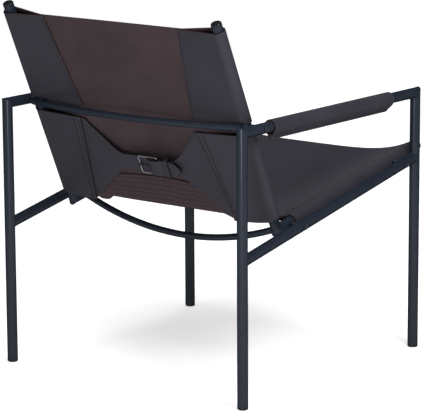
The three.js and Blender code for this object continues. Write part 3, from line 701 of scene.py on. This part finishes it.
def back_row(k, row):
    """Height w of a row at k. The lower edge rises round the tube and again over the seat's band,
    and the upper flap's lower edge clears the bow's end."""
    bottom = BACK_LOW_W + line_at(LOW_EDGE_RISE, k)
    over_bow = NOTCH_HIGH_W + line_at(BOW_RISE, k)
    if row <= LOW_ROWS:
        return mix(bottom, NOTCH_LOW_W, row / LOW_ROWS)
    if row <= LOW_ROWS + NOTCH_ROWS:
        return mix(NOTCH_LOW_W, over_bow, (row - LOW_ROWS) / NOTCH_ROWS)
    return mix(over_bow, BACK_HIGH_W, (row - LOW_ROWS - NOTCH_ROWS) / HIGH_ROWS)


def back_place(u, v):
    column = u * 2 * BACK_HALF
    k = min(column, 2 * BACK_HALF - column)
    w = back_row(k, v * BACK_ROWS)
    x, n = back_section(k, w)
    return from_back(x if column <= BACK_HALF else -x, n, w)


def back_kept(u, v):
    row = v * BACK_ROWS
    k = min(u, 1 - u) * 2 * BACK_HALF
    in_notch = LOW_ROWS < row < LOW_ROWS + NOTCH_ROWS
    return not in_notch or k > BACK_FRONT - NOTCH_END


print("rows of cells up the back hide:", BACK_ROWS)

# %% Back hide
back_hide = cut_hide("back_hide", 2 * BACK_HALF, BACK_ROWS, back_place, back_kept, flip=True)
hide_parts("back_sling")
print("back hide faces", len(back_hide.data.polygons))

# %% [markdown]
# The seat is one hide too. Under each tube its hem is sewn up to the seat. Between the tubes it sags
# most in the middle, and it leaves each tube at the same angle all along, so that it looks stretched.

# %% Section of the seat hide
SEAT_FRONT_Y = -338
SEAT_REAR_Y = 97
HEM_FLAP_X = 220
HEM_SEAM_X = 238
SEAT_LEAVE = math.radians(25)
HEM_LEAVE = math.radians(24)
SEAT_EDGE_X = INNER_X - WRAP_R * math.sin(SEAT_LEAVE)
SEAT_EDGE_Z = WRAP_R * math.cos(SEAT_LEAVE)
# Depth of the sag in the middle, as [share of the way from front to rear, depth]
SEAT_SAG = [[0, 29], [0.12, 37], [0.3, 48], [0.5, 52], [0.7, 48], [0.88, 32], [1, 16]]
SEAT_FLAP, SEAT_WRAP, SEAT_PANEL = 6, 24, 44
SEAT_TOP = SEAT_FLAP + SEAT_WRAP
SEAT_HALF = SEAT_TOP + SEAT_PANEL


def along_seat(y):
    return y / math.cos(SLOPE)


def seat_z(x, y):
    sag = line_at(SEAT_SAG, (y - SEAT_FRONT_Y) / (SEAT_REAR_Y - SEAT_FRONT_Y))
    power = math.tan(SEAT_LEAVE) * SEAT_EDGE_X / sag
    return SEAT_EDGE_Z - sag * (1 - clamp(abs(x) / SEAT_EDGE_X) ** power)


def seat_section(k, y):
    """x and height on the section at y; k counts cells from the hem's raw edge to the middle."""
    if k <= SEAT_FLAP:
        hem_x, hem_z = wrap(math.pi + HEM_LEAVE)
        x = mix(HEM_FLAP_X, hem_x, k / SEAT_FLAP)
        if x <= HEM_SEAM_X:
            return x, seat_z(x, y) - LAYER
        share = (x - HEM_SEAM_X) / (hem_x - HEM_SEAM_X)
        return x, mix(seat_z(HEM_SEAM_X, y) - LAYER, hem_z, share)
    if k <= SEAT_TOP:
        return wrap(mix(math.pi + HEM_LEAVE, -SEAT_LEAVE, (k - SEAT_FLAP) / SEAT_WRAP))
    x = SEAT_EDGE_X * (1 - (k - SEAT_TOP) / SEAT_PANEL)
    return x, seat_z(x, y)


def hem_point(k, y):
    x, z = seat_section(k, y)
    return from_seat(x, along_seat(y), z)


print("cells across the seat hide:", 2 * SEAT_HALF)

# %% [markdown]
# Behind the rear bolts the seat hide narrows, passes under the back hide and turns up behind it as a
# band, with its flesh side out. The way there is a smooth line through a few points for each column
# of the grid, and the band itself lies flat on the back of the panel.

# %% Turn and band of the seat hide
BAND_LOW_W = 26.5
BAND_FOOT_W = 46
BAND_HALF_X = 168
BAND_GAP = 0.5
FOLD_W = 34
FOLD_END_RISE = 4
# The fold changes between these two half widths, towards its ends
FOLD_MIDDLE_X = 142
FOLD_END_X = 172
# Rows of the fold, as half width, then n and w from the band's foot, then how much these two
# change towards the ends, where the fold hangs lower
FOLD_ROWS = [[192, -10, -2.5, -5, -17.5], [182, -3.5, -0.5, -5, -14.5], [173, 0, 5.5, 0, -4]]
MIDWAY_HALF_X = 238
# The line starts straight on from the hems, so its first point lies this far before their end
RUN_IN = 20


def band_n(x, w):
    return panel_n(x, w) + LAYER + BAND_GAP


def fold_point(x, n, w, end_n, end_w):
    end = ease((x - FOLD_MIDDLE_X) / (FOLD_END_X - FOLD_MIDDLE_X))
    fold_w = BAND_LOW_W + FOLD_END_RISE * (x / BAND_HALF_X) ** 2
    return from_back(x, band_n(x, FOLD_W) + n + end * end_n, fold_w + w + end * end_w)


def inner_share(k):
    """1 at the tubes and beyond them, falling to 0 in the middle."""
    return 1 - max(k - SEAT_TOP, 0) / SEAT_PANEL


def band_point(k, w):
    x = BAND_HALF_X * inner_share(k)
    return from_back(x, band_n(x, w), w)


def turn_points(k):
    """Points on the way from the hems' rear end, under the back hide, to the foot of the band."""
    inner = inner_share(k)
    before = hem_point(k, SEAT_REAR_Y - RUN_IN)
    start = hem_point(k, SEAT_REAR_Y)
    fold_points = [fold_point(half_x * inner, *change) for half_x, *change in FOLD_ROWS]
    midway = start.lerp(fold_points[0], 0.5)
    midway.x = MIDWAY_HALF_X * inner * MM
    return [before, start, midway, *fold_points, band_point(k, BAND_FOOT_W)]


print("points on a column's way to the band:", len(turn_points(SEAT_HALF)))

# %% Rows of the seat hide
HEM_ROWS, TURN_ROWS, BAND_ROWS = 72, 26, 12
SEAT_ROWS = HEM_ROWS + TURN_ROWS + BAND_ROWS


def seat_place(u, v):
    column = u * 2 * SEAT_HALF
    k = min(column, 2 * SEAT_HALF - column)
    row = v * SEAT_ROWS
    if row <= HEM_ROWS:
        point = hem_point(k, mix(SEAT_FRONT_Y, SEAT_REAR_Y, row / HEM_ROWS))
    elif row <= HEM_ROWS + TURN_ROWS:
        way = turn_points(k)
        steps = len(way) - 2
        point = point_at(way, 1 + steps * (row - HEM_ROWS) / TURN_ROWS)
    else:
        point = band_point(k, mix(BAND_FOOT_W, BAND_HIGH_W, (row - HEM_ROWS - TURN_ROWS) / BAND_ROWS))
    if column > SEAT_HALF:
        point.x = -point.x
    return point


def seat_kept(u, v):
    row = v * SEAT_ROWS
    k = min(u, 1 - u) * 2 * SEAT_HALF
    return row < HEM_ROWS or k > SEAT_TOP


print("rows of cells along the seat hide:", SEAT_ROWS)

# %% Seat hide
seat_hide = cut_hide("seat_hide", 2 * SEAT_HALF, SEAT_ROWS, seat_place, seat_kept, flip=True)
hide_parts("seat_sling")
print("seat hide faces", len(seat_hide.data.polygons))

# %% [markdown]
# The belt draws the two lower flaps together behind the back. Each half starts as a wide wing sewn
# under a flap and narrows to a strap. One strap folds round the buckle's bar, and the other passes
# through the buckle and the keeper and ends in a rounded tip.

# %% Widths and levels of the belt
STRAP_LOW_W = 115
STRAP_HIGH_W = 150
STRAP_MID_W = (STRAP_LOW_W + STRAP_HIGH_W) / 2
STRAP_X = 66
BUCKLE_N = 20
BUCKLE_HALF_X = 23
WIRE_R = 1.5
# The middle of the leather lies this far from the middle of the buckle's wire
ROD_GAP = WIRE_R + HIDE / 2 + 0.9
STRAP_N = BUCKLE_N - LAYER / 2 - WIRE_R
UNDER_BAR_N = BUCKLE_N - ROD_GAP
OVER_BAR_N = BUCKLE_N + ROD_GAP
TOP_LAYER_N = STRAP_N + 2 * LAYER
print("strap", STRAP_HIGH_W - STRAP_LOW_W, "mm wide, its tip lies", round(TOP_LAYER_N, 1), "mm out")

# %% Making a belt half
# Upper and lower edge of a wing, as [x, w] from its sewn side to the strap
WING_HIGH = [
    [178, 228], [143, 226], [130, 210], [116, 196], [97, 175], [80, 158], [STRAP_X, STRAP_HIGH_W]]
WING_LOW = [
    [197, 22], [175, 28], [143, 57], [124, 73.5], [104, 90], [86, 105.5], [STRAP_X, STRAP_LOW_W]]
WING_CELLS = 42
BELT_CELLS_ACROSS = 16


def wing_point(share, t):
    """x, n and w of a point; share runs from the sewn side to the strap, t from low to high."""
    s = share * (len(WING_HIGH) - 1)
    low = point_at([Vector(p) for p in WING_LOW], s)
    high = point_at([Vector(p) for p in WING_HIGH], s)
    x, w = low.lerp(high, t)
    edge = flap_edge_x(w)
    if x < edge:
        return x, mix(STRAP_N, seam_n(w) - LAYER, share_of(x, STRAP_X, edge)), w
    return x, flap_n(x, w) - LAYER, w


def belt_half(name, side, path, cells):
    """path is a list of [x, n, share of the full width] after the wing."""
    line = [Vector(p) for p in path]
    total = WING_CELLS + cells

    def place(u, v):
        column = u * total
        if column <= WING_CELLS:
            x, n, w = wing_point(column / WING_CELLS, v)
            return from_back(side * x, n, w)
        x, n, width = point_at(line, (column - WING_CELLS) / cells * (len(line) - 1))
        return from_back(x, n, STRAP_MID_W + (v - 0.5) * width * (STRAP_HIGH_W - STRAP_LOW_W))

    # The belt's cut edges get the near-black colour, which is partly a painted shadow
    return cut_hide(name, total, BELT_CELLS_ACROSS, place, rim=inked_edge_and_painted_shadow, flip=side < 0)


print("a wing narrows from", WING_HIGH[0][1] - WING_LOW[0][1], "mm to the strap's width")

# %% Strap with the tip
tip_path = [
    [STRAP_X, STRAP_N, 1], [40, UNDER_BAR_N, 1], [BUCKLE_HALF_X, UNDER_BAR_N, 1],
    [8, UNDER_BAR_N, 1], [0, BUCKLE_N, 1], [-8, BUCKLE_N + 5, 1],
    [-16, OVER_BAR_N + LAYER, 1], [-29, OVER_BAR_N + LAYER, 1],
    [-40, TOP_LAYER_N, 1], [-54, TOP_LAYER_N, 1], [-62, TOP_LAYER_N, 0.97],
    [-69, TOP_LAYER_N + 0.5, 0.86], [-76, TOP_LAYER_N + 0.8, 0.62],
    [-81, TOP_LAYER_N + 1, 0.38], [-84, TOP_LAYER_N + 1.2, 0.12],
]
tip_strap = belt_half("tip_strap", 1, tip_path, cells=84)
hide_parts("left_belt")
print("tip strap faces", len(tip_strap.data.polygons))

# %% Strap that folds round the buckle's bar
FOLD_WIDTH = 0.93
round_bar = [
    [-BUCKLE_HALF_X + ROD_GAP * math.cos(a), BUCKLE_N + ROD_GAP * math.sin(a), FOLD_WIDTH]
    for a in (math.radians(d) for d in range(-90, 91, 30))
]
fold_path = [
    [-STRAP_X, STRAP_N, 1], [-40, STRAP_N, 1], *round_bar,
    [-40, STRAP_N + LAYER, 1], [-70, STRAP_N + LAYER, 1],
]
buckle_strap = belt_half("buckle_strap", -1, fold_path, cells=72)
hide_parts("right_belt")
print("buckle strap faces", len(buckle_strap.data.polygons))

# %% [markdown]
# The keeper is a narrow loop of thinner leather that holds the tip down. A tube of faces is bent to
# a flat rounded ring and given its thickness. A small power of a sine or cosine is near 1 for most
# of a turn, which makes a circle into a box with rounded corners.

# %% Keeper
KEEPER_X = -49
KEEPER_HALF_X = 6
KEEPER_THICKNESS = 2.2
KEEPER_EDGE = 0.4
KEEPER_GAP = 1.7
SIDE_POWER, END_POWER = 0.28, 0.12
keeper_low = STRAP_N - HIDE / 2 - KEEPER_GAP
keeper_high = TOP_LAYER_N + HIDE / 2 + KEEPER_GAP
keeper_half_w = (STRAP_HIGH_W - STRAP_LOW_W) / 2 + KEEPER_GAP
bpy.ops.object.select_all(action="DESELECT")
bpy.ops.mesh.primitive_cylinder_add(vertices=64, radius=1, depth=2, end_fill_type="NOTHING")
keeper = bpy.context.object
keeper.name = "belt_keeper_loop"


def boxy(value, power):
    return math.copysign(abs(value) ** power, value)


for vertex in keeper.data.vertices:
    turn = math.atan2(vertex.co.y, vertex.co.x)
    n = mix(keeper_low, keeper_high, 0.5 + 0.5 * boxy(math.cos(turn), SIDE_POWER))
    w = STRAP_MID_W + keeper_half_w * boxy(math.sin(turn), END_POWER)
    vertex.co = from_back(KEEPER_X + KEEPER_HALF_X * vertex.co.z, n, w)
# The keeper's cut edges get the near-black colour, which is partly a painted shadow
give_thickness(keeper, inked_edge_and_painted_shadow, KEEPER_THICKNESS, KEEPER_EDGE, quality=False)
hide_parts("belt_keeper")
print("keeper", round(keeper_high - keeper_low, 1), "mm deep")

# %% [markdown]
# Each arm sleeve is a hide folded over the arm tube, with its two long edges sewn together below.
# Its front lower corner is cut away in a hollow curve.

# %% Arm sleeves
SLEEVE_FRONT_Y = -195
SLEEVE_REAR_Y = 217
SLEEVE_DROP = 25
CORNER_CUT = 17
SLEEVE_CELLS_ROUND, SLEEVE_CELLS_ALONG = 72, 90
# Half of the section, as [x, z] from the lower edge up to the tube, then an arc over the tube
SLEEVE_SKIRT = [
    [LAYER / 2, -SLEEVE_DROP], [LAYER / 2, -21.5], [LAYER / 2 + 0.4, -18.5], [5.4, -15.4], [9.6, -10.2]]
over_tube = [math.radians(d) for d in range(-25, 80, 15)]
half_section = SLEEVE_SKIRT + [[WRAP_R * math.cos(a), WRAP_R * math.sin(a)] for a in over_tube]
other_half = [[-x, z] for x, z in reversed(half_section)]
sleeve_points = [Vector(p) for p in half_section + [[0, WRAP_R]] + other_half]


def make_sleeve(side, label):
    def place(u, v):
        x, z = point_at(sleeve_points, u * (len(sleeve_points) - 1))
        low = share_of(-z, SLEEVE_DROP - CORNER_CUT, SLEEVE_DROP)
        hollow = CORNER_CUT * (1 - math.sqrt(1 - low * low))
        y = mix(SLEEVE_FRONT_Y + hollow, SLEEVE_REAR_Y, v)
        return Vector((side * SIDE_X + x, y, ARM_Z + z)) * MM

    name = f"{label}_sleeve_hide"
    sleeve = cut_hide(name, SLEEVE_CELLS_ROUND, SLEEVE_CELLS_ALONG, place, flip=True)
    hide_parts(f"{label}_arm_sleeve")


for side, label in SIDES:
    make_sleeve(side, label)
print("sleeves", SLEEVE_REAR_Y - SLEEVE_FRONT_Y, "mm long")

# %% [markdown]
# The seams are sewn with thick thread. One stitch is modelled as a slightly flattened bead, and it
# is copied along each seam at an even pitch, lying on the leather. The copies of a seam are joined.
# The upper flaps and the band are sewn with thinner thread, so their stitches are narrower.

# %% Making a row of stitches
STITCH_SIZE = Vector((2.7, 0.75, 0.6))
PITCH = 7.0
# How wide a stitch of the thinner threads is, as a share of a thick one
FLAP_THREAD = 0.6
BAND_THREAD = 0.55
# The stitches' middles lie this far from the middle of the leather
LIFT = HIDE / 2 + 0.25
bpy.ops.object.select_all(action="DESELECT")
bpy.ops.mesh.primitive_uv_sphere_add(segments=8, ring_count=6, radius=1)
stitch = bpy.context.object
stitch.name = "stitch"
stitch.scale = STITCH_SIZE * MM
settle(stitch)
wear(stitch, thread)
smooth(stitch, 60)


def sew(name, path, pitch=PITCH, thickness=1.0):
    """path is a list of (point, outward normal), both in the chair's axes."""
    stitches = []
    wanted = pitch * MM / 2
    walked = 0.0
    for (p0, n0), (p1, n1) in zip(path, path[1:]):
        step = (p1 - p0).length
        while step and walked + step >= wanted:
            t = (wanted - walked) / step
            along = (p1 - p0).normalized()
            out = n0.lerp(n1, t).normalized()
            sideways = out.cross(along).normalized()
            copy = stitch.copy()
            copy.data = stitch.data.copy()
            scene.collection.objects.link(copy)
            copy.matrix_world = (
                Matrix.Translation(p0.lerp(p1, t))
                @ Matrix((along, sideways * thickness, out)).transposed().to_4x4())
            stitches.append(copy)
            wanted += pitch * MM
        walked += step
    seam = join(stitches, name)
    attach(seam, "chair")
    return len(stitches)


print("one stitch is", 2 * round(STITCH_SIZE.x, 2), "mm long")

# %% Flap stitches
BEHIND = (from_back(0, 1, 0) - from_back(0, 0, 0)).normalized()
FLAP_STEPS = 60
EDGE_INSET = 5
UPPER_SEW_W = (262, 457)
LOWER_SEW_W = (24, 226)
SECOND_ROW_INSET = (10, 18)


def flap_path(side, span, inset):
    """Path up a flap over the pair of heights span, set in from its edge by the pair inset."""
    path = []
    for i in range(FLAP_STEPS + 1):
        w = mix(*span, i / FLAP_STEPS)
        x = flap_edge_x(w) + mix(*inset, i / FLAP_STEPS)
        path.append((from_back(side * x, flap_n(x, w) + LIFT, w), BEHIND))
    return path


sewn = 0
even_inset = (EDGE_INSET, EDGE_INSET)
for side, label in SIDES:
    upper_path = flap_path(side, UPPER_SEW_W, even_inset)
    sewn += sew(f"{label}_upper_flap_stitches", upper_path, thickness=FLAP_THREAD)
    sewn += sew(f"{label}_lower_flap_edge_stitches", flap_path(side, LOWER_SEW_W, even_inset))
    sewn += sew(f"{label}_lower_flap_stitches", flap_path(side, LOWER_SEW_W, SECOND_ROW_INSET))
print("flap stitches", sewn)

# %% Band stitches
BAND_SEW_W = range(39, 84, 11)
BAND_SEW_X = 163
BAND_PITCH = 7.5
BAND_STEPS = 60
for row, w in enumerate(BAND_SEW_W):
    path = []
    for i in range(BAND_STEPS + 1):
        x = mix(-BAND_SEW_X, BAND_SEW_X, i / BAND_STEPS)
        path.append((from_back(x, band_n(x, w) + LIFT, w), BEHIND))
    sewn += sew(f"band_stitches_{row + 1}", path, BAND_PITCH, BAND_THREAD)
print("rows of stitches on the band:", len(BAND_SEW_W))

# %% Hem and sleeve stitches
UP = (from_seat(0, 0, 1) - from_seat(0, 0, 0)).normalized()
LONG_STEPS = 80
HEM_SEW_Y = (SEAT_FRONT_Y + 5, SEAT_REAR_Y - 4)
SLEEVE_SEW_Y = (SLEEVE_FRONT_Y + 14, SLEEVE_REAR_Y - 4)
SLEEVE_SEW_DROP = 21
for side, label in SIDES:
    path = []
    for i in range(LONG_STEPS + 1):
        y = mix(*HEM_SEW_Y, i / LONG_STEPS)
        height = seat_z(HEM_SEAM_X, y) + LIFT
        path.append((from_seat(side * HEM_SEAM_X, along_seat(y), height), UP))
    sewn += sew(f"{label}_hem_stitches", path)
    for face in (1, -1):
        x = side * SIDE_X + face * (LAYER / 2 + LIFT)
        ends = [Vector((x, y, ARM_Z - SLEEVE_SEW_DROP)) * MM for y in SLEEVE_SEW_Y]
        outwards = Vector((face, 0, 0))
        where = "outer" if face == side else "inner"
        sewn += sew(f"{label}_sleeve_{where}_stitches", [(point, outwards) for point in ends])
bpy.data.objects.remove(stitch)
print("stitches in all", sewn)

# %% [markdown]
# The setting is a plain pale floor and soft studio light. The floor is a pale matt plane with a glow
# that only the camera and reflections see, so it stays white and keeps the soft shadow. Is Camera
# Ray, Is Glossy Ray and Is Transmission Ray are each 0 or 1, so their largest value says whether a
# ray is one that sees the glow. The glow is weaker under the chair than far away from it.


# %% Floor
def math_node(tree, operation, first, second):
    """A Math node of two inputs; second is a socket or a plain number."""
    node = tree.nodes.new("ShaderNodeMath")
    node.operation = operation
    tree.links.new(first, node.inputs[0])
    if isinstance(second, float):
        node.inputs[1].default_value = second
    else:
        tree.links.new(second, node.inputs[1])
    return node.outputs["Value"]


def range_node(tree, value, from_range, to_range):
    node = tree.nodes.new("ShaderNodeMapRange")
    for title, number in zip(("From Min", "From Max", "To Min", "To Max"), from_range + to_range):
        node.inputs[title].default_value = number
    tree.links.new(value, node.inputs["Value"])
    return node.outputs["Result"]


FLOOR_GREY = 0.86
GLOW_DISTANCE = (0.6, 4.0)
GLOW_STRENGTH = (0.5, 0.8)
bpy.ops.object.select_all(action="DESELECT")
bpy.ops.mesh.primitive_plane_add(size=30)
floor = bpy.context.object
floor.name = "floor"
pale = bpy.data.materials.new("pale_floor")
pale.use_nodes = True
tree = pale.node_tree
matt = tree.nodes["Principled BSDF"]
matt.inputs["Base Color"].default_value = (FLOOR_GREY, FLOOR_GREY, FLOOR_GREY, 1)
matt.inputs["Roughness"].default_value = 0.9
rays = tree.nodes.new("ShaderNodeLightPath").outputs
floor_place = tree.nodes.new("ShaderNodeTexCoord")
distance = tree.nodes.new("ShaderNodeVectorMath")
distance.operation = "LENGTH"
tree.links.new(floor_place.outputs["Object"], distance.inputs[0])
strength = range_node(tree, distance.outputs["Value"], GLOW_DISTANCE, GLOW_STRENGTH)
seen = math_node(tree, "MAXIMUM", rays["Is Camera Ray"], rays["Is Glossy Ray"])
seen = math_node(tree, "MAXIMUM", seen, rays["Is Transmission Ray"])
glow = tree.nodes.new("ShaderNodeEmission")
tree.links.new(math_node(tree, "MULTIPLY", seen, strength), glow.inputs["Strength"])
both = tree.nodes.new("ShaderNodeAddShader")
tree.links.new(matt.outputs["BSDF"], both.inputs[0])
tree.links.new(glow.outputs["Emission"], both.inputs[1])
tree.links.new(both.outputs["Shader"], tree.nodes["Material Output"].inputs["Surface"])
wear(floor, pale)
floor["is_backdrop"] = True
print("floor", round(floor.dimensions.x), "m wide")

# %% [markdown]
# The world is plain white to the camera. In reflections it is white near the horizon and dark
# overhead, as a studio's ceiling is, and as a light it is dim. Generated is the direction of a ray
# here, so its Z says how steeply the ray goes up.

# %% World
WORLD_LIGHT = 0.18
CEILING_FROM_TO = (0.05, 0.5)
world = bpy.data.worlds.new("studio")
scene.world = world
world.use_nodes = True
tree = world.node_tree
background = tree.nodes["Background"]
background.inputs["Color"].default_value = (1, 1, 1, 1)
rays = tree.nodes.new("ShaderNodeLightPath").outputs
direction = tree.nodes.new("ShaderNodeTexCoord")
split = tree.nodes.new("ShaderNodeSeparateXYZ")
tree.links.new(direction.outputs["Generated"], split.inputs["Vector"])
ceiling = range_node(tree, split.outputs["Z"], CEILING_FROM_TO, (1.0, WORLD_LIGHT))
mirrored = math_node(tree, "MULTIPLY", rays["Is Glossy Ray"], ceiling)
seen = math_node(tree, "MAXIMUM", rays["Is Camera Ray"], rays["Is Transmission Ray"])
shown = math_node(tree, "MAXIMUM", seen, mirrored)
level_of = math_node(tree, "MAXIMUM", shown, WORLD_LIGHT)
tree.links.new(level_of, background.inputs["Strength"])
print("the world's own light:", WORLD_LIGHT)

# %% [markdown]
# Four square lamps light the chair. The key lamp stands low and close behind the chair's right side,
# which draws a light streak down each upright tube, and its light falls off towards the front and
# the left. The side and top lamps light the leather evenly, and a weak one fills in from the front.

# %% Lamps
LAMPS_LOOK_AT = Vector((0, 0, 0.4))


def lamp(name, at, size, power):
    """at and size are in metres, power in watts."""
    data = bpy.data.lights.new(name, "AREA")
    data.shape = "SQUARE"
    data.size = size
    data.energy = power
    light = bpy.data.objects.new(name, data)
    scene.collection.objects.link(light)
    light.location = at
    light.visible_camera = False
    light.rotation_mode = "QUATERNION"
    light.rotation_quaternion = (Vector(at) - LAMPS_LOOK_AT).to_track_quat("Z", "Y")


lamp("key_softbox", (-0.9, 2.0, 0.4), 0.5, 16)
lamp("side_softbox", (-1.8, 0.8, 1.8), 0.8, 42)
lamp("top_softbox", (0.0, 0.2, 3.0), 2.0, 55)
lamp("front_softbox", (1.4, -3.0, 1.8), 1.8, 15)
scene.view_settings.view_transform = "Standard"
print("lamps:", len(bpy.data.lights))

# %% Sizes and finish
made_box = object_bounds()
for name, (low, high) in (("CAD", cad_box), ("visual", made_box)):
    print(name, [round(v * 1000, 1) for v in low], [round(v * 1000, 1) for v in high])
